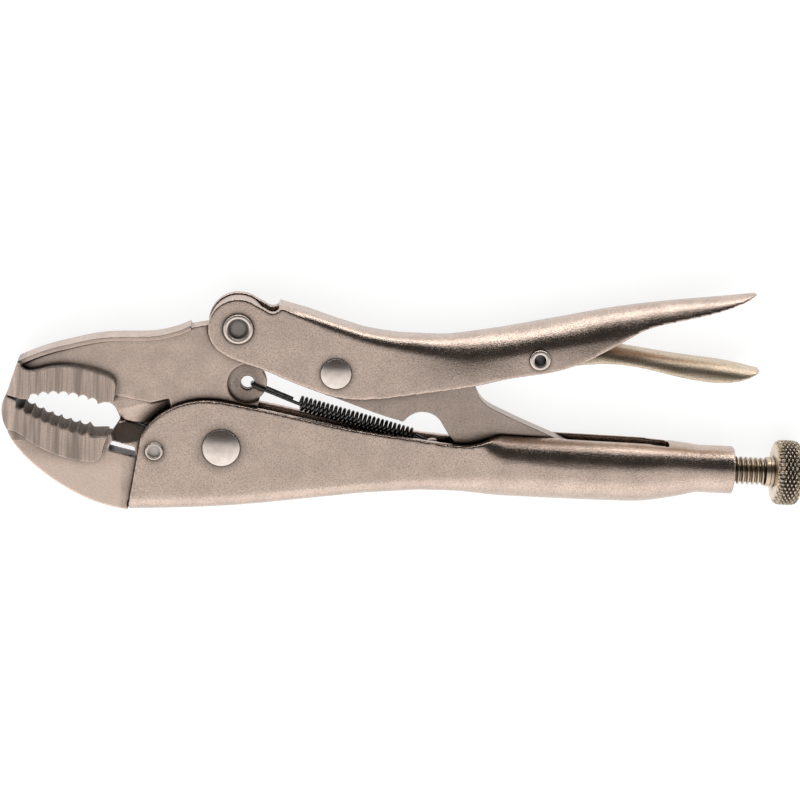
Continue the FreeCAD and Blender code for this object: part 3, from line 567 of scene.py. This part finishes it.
def grid_mesh(name, rows, caps=True):
    """A mesh through equal rows of points; each row is closed on itself, with flat caps at the ends."""
    count = len(rows[0])
    points = [p for row in rows for p in row]
    faces = []
    for r in range(len(rows) - 1):
        for c in range(count):
            n = (c + 1) % count
            faces.append((r * count + c, r * count + n, (r + 1) * count + n, (r + 1) * count + c))
    if caps:
        faces.append(tuple(reversed(range(count))))
        faces.append(tuple(range((len(rows) - 1) * count, len(rows) * count)))
    mesh = bpy.data.meshes.new(name)
    mesh.from_pydata(points, [], faces)
    bm = bmesh.new()
    bm.from_mesh(mesh)
    bmesh.ops.recalc_face_normals(bm, faces=bm.faces)
    for face in bm.faces:
        face.smooth = len(face.verts) <= 4
    bm.to_mesh(mesh)
    bm.free()
    return mesh


def tube_mesh(name, path, radius, sides):
    """A round wire along a path of points."""
    rows = []
    ahead = (path[1] - path[0]).normalized()
    side = ahead.orthogonal().normalized()
    for index, point in enumerate(path):
        before = path[max(0, index - 1)]
        after = path[min(len(path) - 1, index + 1)]
        turn = ahead.rotation_difference((after - before).normalized())
        ahead = (after - before).normalized()
        side = (turn @ side).normalized()
        up = ahead.cross(side)
        rows.append([point + radius * (math.cos(a) * side + math.sin(a) * up)
                     for a in (2 * math.pi * k / sides for k in range(sides))])
    return grid_mesh(name, rows)


# ---------------------------------------------------------------- pieces

class PLIERS_OT_handles(bpy.types.Operator):
    """Folded sheet handles and the release lever"""
    bl_idname = "pliers.handles"
    bl_label = "Handles and lever"

    def execute(self, context):
        sizes, finish = context.scene.pliers_sizes, context.scene.pliers_finish
        plate = satin_plate("satin_plate", finish.plate, finish.bright)
        lever = satin_plate("lever_plate", finish.warm, finish.bright, 0.36, 1.2)
        for node, body, slot, material in (
                ("fixed_handle", "fixed_handle", "plated_sheet", plate),
                ("movable_handle", "movable_handle", "plated_sheet", plate),
                ("release_lever", "release_lever", "lever_sheet", lever)):
            name = node + "_shell"
            piece = add_piece(name, refined_mesh(node, name), body, slot, material, node)
            soften_sheet(piece, sizes.sheet_grain)
            if node == "movable_handle":
                lean_in(piece, sizes.lean_depth, sizes.lean_amount)
        return {"FINISHED"}


class PLIERS_OT_jaws(bpy.types.Operator):
    """Both jaws and the toggle link"""
    bl_idname = "pliers.jaws"
    bl_label = "Jaws and link"

    def execute(self, context):
        sizes, finish = context.scene.pliers_sizes, context.scene.pliers_finish
        forged = forged_plate("forged_plate", finish.plate, finish.bright, sizes.block_half)
        link = satin_plate("link_plate", tone(finish.plate, 0.72), finish.bright, 0.3, 0.8)
        for node, body in (("fixed_jaw", "fixed_handle"), ("movable_jaw", "movable_jaw")):
            name = node + "_forging"
            piece = add_piece(name, refined_mesh(node, name), body, "forged_jaw", forged, node)
            soften_sheet(piece, sizes.jaw_grain, 2)
        plate = add_piece("toggle_link_plate", refined_mesh("toggle_link", "toggle_link_plate"),
                          "toggle_link", "link_steel", link, "toggle_link")
        break_edges(plate, sizes.plate_edge)
        return {"FINISHED"}


class PLIERS_OT_rivets(bpy.types.Operator):
    """The five rivets"""
    bl_idname = "pliers.rivets"
    bl_label = "Rivets"

    def execute(self, context):
        finish = context.scene.pliers_finish
        metal = polished("rivet_metal", finish.bright, 0.33, RIVET_HOLLOWS)
        for node, body in (
                ("jaw_pivot_rivet", "fixed_handle"),
                ("fixed_jaw_rivet", "fixed_handle"),
                ("handle_pivot_rivet", "movable_handle"),
                ("link_rivet", "movable_handle"),
                ("lever_rivet", "movable_handle")):
            name = node + "_head"
            piece = add_piece(name, refined_mesh(node, name), body, "rivet_steel", metal, node)
            break_edges(piece, 0.08 * MM, 2, 40.0)
        return {"FINISHED"}


class PLIERS_OT_screw(bpy.types.Operator):
    """Adjusting screw with its real thread, its collar and its knurled knob"""
    bl_idname = "pliers.screw"
    bl_label = "Adjusting screw"

    def execute(self, context):
        sizes, finish = context.scene.pliers_sizes, context.scene.pliers_finish
        metal = polished("screw_metal", tone(finish.warm, 0.85), 0.3, crevice_shade=0.4)
        low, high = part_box("adjusting_screw")
        axis_y, axis_z = (low.y + high.y) / 2, (low.z + high.z) / 2
        radius = (high.z - low.z) / 2
        collar_low, collar_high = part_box("screw_collar")
        pitch = sizes.thread_pitch
        depth = THREAD_DEPTH * pitch
        sides = THREAD_SIDES

        def ring(x, size):
            return [Vector((x, axis_y + size(k) * math.cos(2 * math.pi * k / sides),
                            axis_z + size(k) * math.sin(2 * math.pi * k / sides))) for k in range(sides)]

        rows = []
        shoulder = collar_low.x - SHOULDER_GAP
        length = shoulder - low.x
        steps = round(length / pitch * ROWS_PER_TURN)
        for step in range(steps + 1):
            x = length * step / steps
            ease = min(1.0, max(0.0, (x - pitch) / pitch))

            def thread(k):
                phase = (x / pitch - k / sides) % 1.0
                ridge = min(1.0, max(0.0, 1.35 - abs(2 * phase - 1) * 1.7))
                point = min(1.0, 0.6 + x / (1.2 * pitch))
                return (radius - depth + depth * ridge * ease) * point

            rows.append(ring(low.x + x, thread))
        rows.append(ring(shoulder, lambda k: NECK))
        rows.append(ring(high.x, lambda k: NECK))
        add_piece("adjusting_screw_thread", grid_mesh("adjusting_screw_thread", rows), "adjusting_screw",
                  "screw_steel", metal, "adjusting_screw")

        collar_radius = (collar_high.z - collar_low.z) / 2
        width = collar_high.x - collar_low.x
        groove = collar_radius - COLLAR_GROOVE
        profile = [(0.0, COLLAR_BORE), (0.0, collar_radius - COLLAR_CHAMFER), (0.1 * MM, groove),
                   (COLLAR_CHAMFER, collar_radius), (width * 0.55, collar_radius), (width * 0.6, groove),
                   (width * 0.72, groove), (width * 0.8, collar_radius), (width, collar_radius),
                   (width, COLLAR_BORE)]
        rows = [ring(collar_low.x + x, lambda k, r=r: r) for x, r in profile]
        rows.append(rows[0])
        collar = add_piece("screw_collar_ring", grid_mesh("screw_collar_ring", rows, caps=False),
                           "screw_carriage", "screw_steel", metal, "screw_collar")
        break_edges(collar, 0.06 * MM)
        self.knob(sizes, finish, axis_y, axis_z)
        return {"FINISHED"}

    def knob(self, sizes, finish, axis_y, axis_z):
        """The knurled wheel: a rounded disc with two families of crossed grooves."""
        low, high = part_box("adjusting_knob")
        metal = satin_plate("knob_plate", tone(finish.warm, 1.12), finish.bright, 0.30, 0.8)
        radius, length = (high.z - low.z) / 2, high.x - low.x
        sides = sizes.knurl_count * FACETS_PER_DIAMOND
        corner = KNOB_CORNER
        profile = [(0.0, KNOB_BORE), (0.0, radius - corner)]
        for step in range(1, CORNER_ROWS + 1):
            a = math.radians(90 * step / CORNER_ROWS)
            profile.append((corner * (1 - math.cos(a)), radius - corner * (1 - math.sin(a))))
        flat = length - 2 * corner
        profile += [(corner + flat * step / FLAT_ROWS, radius) for step in range(1, FLAT_ROWS)]
        for step in range(CORNER_ROWS + 1):
            a = math.radians(90 * step / CORNER_ROWS)
            profile.append((length - corner * (1 - math.sin(a)), radius - corner * (1 - math.cos(a))))
        profile += [(length, radius * 0.5), (length, radius * 0.12)]
        rows = []
        for x, out in profile:
            reach = max(0.0, min(1.0, (out - (radius - 1.6 * MM)) / (1.2 * MM)))
            lean = x / DIAMOND_LENGTH
            row = []
            for k in range(sides):
                angle = 2 * math.pi * k / sides
                one = abs(((k / FACETS_PER_DIAMOND + lean) % 1.0) * 2 - 1)
                two = abs(((k / FACETS_PER_DIAMOND - lean) % 1.0) * 2 - 1)
                groove = 1.0 - min(one, two) * GROOVE_SLOPE
                size = out - sizes.knurl_depth * reach * max(0.0, min(1.0, groove))
                row.append(Vector((low.x + x, axis_y + size * math.cos(angle),
                                   axis_z + size * math.sin(angle))))
            rows.append(row)
        add_piece("adjusting_knob_knurled", grid_mesh("adjusting_knob_knurled", rows), "adjusting_screw",
                  "knob_steel", metal, "adjusting_knob")


class PLIERS_OT_spring(bpy.types.Operator):
    """Return spring wound from wire, with both of its hooks"""
    bl_idname = "pliers.spring"
    bl_label = "Return spring"

    def execute(self, context):
        sizes, finish = context.scene.pliers_sizes, context.scene.pliers_finish
        wire = sizes.spring_wire / 2
        start, end, tab, lug = COIL_START, COIL_END, TAB_HOLE, LUG
        along = (end - start).normalized()
        up = Vector((0, 0, 1))
        side = up.cross(along)
        radius = COIL_RADIUS - wire
        length = (end - start).length
        turns = round(length / (2 * wire * COIL_SPACING))
        path = []

        def run(first, last, count):
            for step in range(count):
                path.append(first.lerp(last, step / count))

        half = Vector((0, 0, HOOK_SPREAD))
        run(tab.lerp(start, 0.86) - up * radius, tab - half * 0.94 + (start - tab) * 0.05, 12)
        run(tab - half * 0.94 + (start - tab) * 0.04, tab - half * 0.5, 3)
        run(tab - half * 0.5, tab + half * 0.5, 5)
        run(tab + half * 0.5, tab + half * 0.94 + (start - tab) * 0.04, 3)
        run(tab + half * 0.94 + (start - tab) * 0.05, start + up * radius, 12)
        steps = turns * POINTS_PER_COIL
        for step in range(steps + 1):
            angle = 2 * math.pi * turns * step / steps
            path.append(start + along * (length * step / steps)
                        + radius * (math.cos(angle) * up + math.sin(angle) * side))
        run(end + up * radius + along * 0.3 * MM, lug + half * 0.94 - (lug - end) * 0.05, 8)
        run(lug + half * 0.94 - (lug - end) * 0.04, lug + half * 0.5, 3)
        run(lug + half * 0.5, lug - half * 0.5, 5)
        run(lug - half * 0.5, lug - half * 0.94 - (lug - end) * 0.04, 3)
        run(lug - half * 0.94 - (lug - end) * 0.05, end - up * radius, 8)
        piece = add_piece("return_spring_coil", tube_mesh("return_spring_coil", path, wire, 10),
                          "fixed_handle", "spring_wire", blackened_wire("blackened_wire", finish.dark),
                          "return_spring")
        piece.data.validate()
        return {"FINISHED"}


class PLIERS_OT_stage(bpy.types.Operator):
    """Table top, soft light and camera"""
    bl_idname = "pliers.stage"
    bl_label = "Table, light and camera"

    def execute(self, context):
        scene, stage, finish = context.scene, context.scene.pliers_stage, context.scene.pliers_finish
        self.table(scene, finish)
        self.room(scene, stage)
        self.camera(scene, stage)
        scene.view_settings.view_transform = "Standard"
        return {"FINISHED"}

    def table(self, scene, finish):
        bm = bmesh.new()
        bmesh.ops.create_grid(bm, x_segments=8, y_segments=8, size=4.0)
        mesh = bpy.data.meshes.new("table_top")
        bm.to_mesh(mesh)
        bm.free()
        table = bpy.data.objects.new("table_top", mesh)
        table.location.z = -0.02 * MM
        scene.collection.objects.link(table)
        mesh.materials.append(table_top("table_white", finish.floor))

    def room(self, scene, stage):
        world = bpy.data.worlds.new("soft_room")
        scene.world = world
        shader = Shader(world)
        direction = shader.node("ShaderNodeTexCoord", output="Generated")
        split = shader.node("ShaderNodeSeparateXYZ", Vector=direction)
        _, y, z = (Value(shader.tree, socket) for socket in split.socket.node.outputs)
        flat = (y * y + z * z + 0.0001) ** 0.5
        toward = (y * math.sin(BAND_LEAN) + z * math.cos(BAND_LEAN)) / flat
        shade = toward.step(*DARK_BAND)
        window = (y / flat).step(*WINDOW)
        away = (y * -1.0 / flat).step(*NEAR_WALL)
        light = (0.82 + away * 0.5) * (1.0 - shade * 0.95) + window * 4.0
        room = shader.node("ShaderNodeBackground", Color=(1.0, 0.985, 0.965, 1.0),
                           Strength=light * stage.room_power)
        shader.node("ShaderNodeOutputWorld", Surface=room)
        overhead = bpy.data.lights.new("overhead", "SUN")
        overhead.energy = stage.key_power
        overhead.angle = math.radians(70)
        lamp = bpy.data.objects.new("overhead", overhead)
        lamp.rotation_euler = (math.radians(18), math.radians(-10), 0)
        lamp.visible_glossy = False
        scene.collection.objects.link(lamp)

    def camera(self, scene, stage):
        right = Vector((math.cos(stage.roll), math.sin(stage.roll), 0))
        up = Vector((-math.sin(stage.roll), math.cos(stage.roll), 0))
        back = (math.sin(stage.swing) * math.cos(stage.tilt) * right + math.sin(stage.tilt) * up
                + Vector((0, 0, math.cos(stage.swing) * math.cos(stage.tilt)))).normalized()
        right = up.cross(back).normalized()
        up = back.cross(right)
        data = bpy.data.cameras.new("camera")
        data.sensor_width = 36.0
        data.lens = stage.lens
        data.clip_end = 100.0
        camera = bpy.data.objects.new("camera", data)
        turn = Matrix((right, up, back)).transposed().to_4x4()
        camera.matrix_world = Matrix.Translation(TOOL_MIDDLE + back * stage.distance) @ turn
        scene.collection.objects.link(camera)
        scene.camera = camera


OPERATORS = (PLIERS_OT_handles, PLIERS_OT_jaws, PLIERS_OT_rivets, PLIERS_OT_screw, PLIERS_OT_spring,
             PLIERS_OT_stage)


class PLIERS_PT_sidebar(bpy.types.Panel):
    """Sizes, finish and build steps of the pliers"""
    bl_label = "Locking pliers"
    bl_idname = "PLIERS_PT_sidebar"
    bl_space_type = "VIEW_3D"
    bl_region_type = "UI"
    bl_category = "Pliers"

    def draw(self, context):
        for group in (context.scene.pliers_sizes, context.scene.pliers_finish, context.scene.pliers_stage):
            box = self.layout.box()
            for name in group.bl_rna.properties.keys():
                if name not in ("rna_type", "name"):
                    box.prop(group, name)
        for operator in OPERATORS:
            self.layout.operator(operator.bl_idname)


CLASSES = (PliersSizes, PliersFinish, PliersStage) + OPERATORS + (PLIERS_PT_sidebar,)


def register():
    for item in CLASSES:
        bpy.utils.register_class(item)
    bpy.types.Scene.pliers_sizes = bpy.props.PointerProperty(type=PliersSizes)
    bpy.types.Scene.pliers_finish = bpy.props.PointerProperty(type=PliersFinish)
    bpy.types.Scene.pliers_stage = bpy.props.PointerProperty(type=PliersStage)


def unregister():
    del bpy.types.Scene.pliers_stage
    del bpy.types.Scene.pliers_finish
    del bpy.types.Scene.pliers_sizes
    for item in reversed(CLASSES):
        bpy.utils.unregister_class(item)


def main():
    register()
    for operator in OPERATORS:
        group, name = operator.bl_idname.split(".")
        getattr(getattr(bpy.ops, group), name)()


if __name__ == "__main__":
    main()
